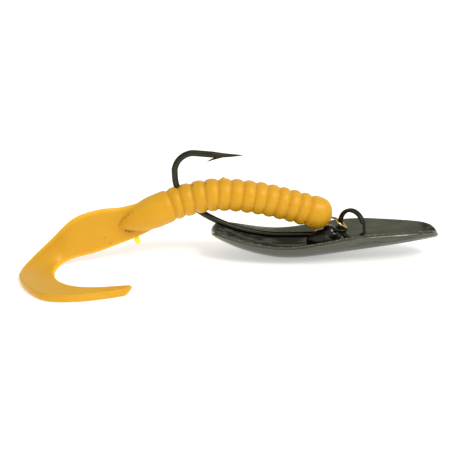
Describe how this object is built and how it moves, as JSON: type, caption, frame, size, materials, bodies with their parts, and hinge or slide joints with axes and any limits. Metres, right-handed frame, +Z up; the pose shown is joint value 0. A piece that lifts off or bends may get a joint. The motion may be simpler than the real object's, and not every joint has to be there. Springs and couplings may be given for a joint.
{
  "type": "soft plastic worm",
  "caption": "Ringed curl-tail plastic worm threaded on the hook of a dark weedless spoon, with a split ring for the line and a brass corkscrew keeper in its nose.",
  "frame": {"origin": "centre of the bounding box, on the table the lure lies on", "axes": "+X along the lure, from the curled tail to the front tip of the spoon; +Z up; the tail's curl opens towards -Y"},
  "size_m": [0.1106, 0.0454, 0.0293],
  "materials": {
    "black_blade": "glossy black with chipped rim",
    "black_hook_wire": "black nickel",
    "black_solder": "glossy black",
    "black_ring_wire": "black nickel",
    "brass_wire": "polished",
    "amber_plastisol": "soft satin",
    "amber_tail_plastisol": "soft, slightly translucent"
  },
  "bodies": {
    "rig": {"spoon_blade": "black_blade", "hook": "black_hook_wire", "hook_solder": "black_solder", "worm_keeper": "brass_wire", "worm_body": "amber_plastisol"},
    "tail": {"worm_tail": "amber_tail_plastisol"},
    "ring": {"split_ring": "black_ring_wire"}
  },
  "joints": [
    {"name": "tail_flex", "type": "hinge", "parent": "rig", "child": "tail", "pos_m": [-0.0311, 0.00928, 0.00954], "axis": [0, 0, 1], "range_deg": [-35, 35], "stiffness_Nm_per_rad": 0.0005},
    {"name": "ring_swing", "type": "hinge", "parent": "rig", "child": "ring", "pos_m": [0.029, 0.01358, 0.0095], "axis": [0, 0, 1], "range_deg": [-8, 50]}
  ]
}
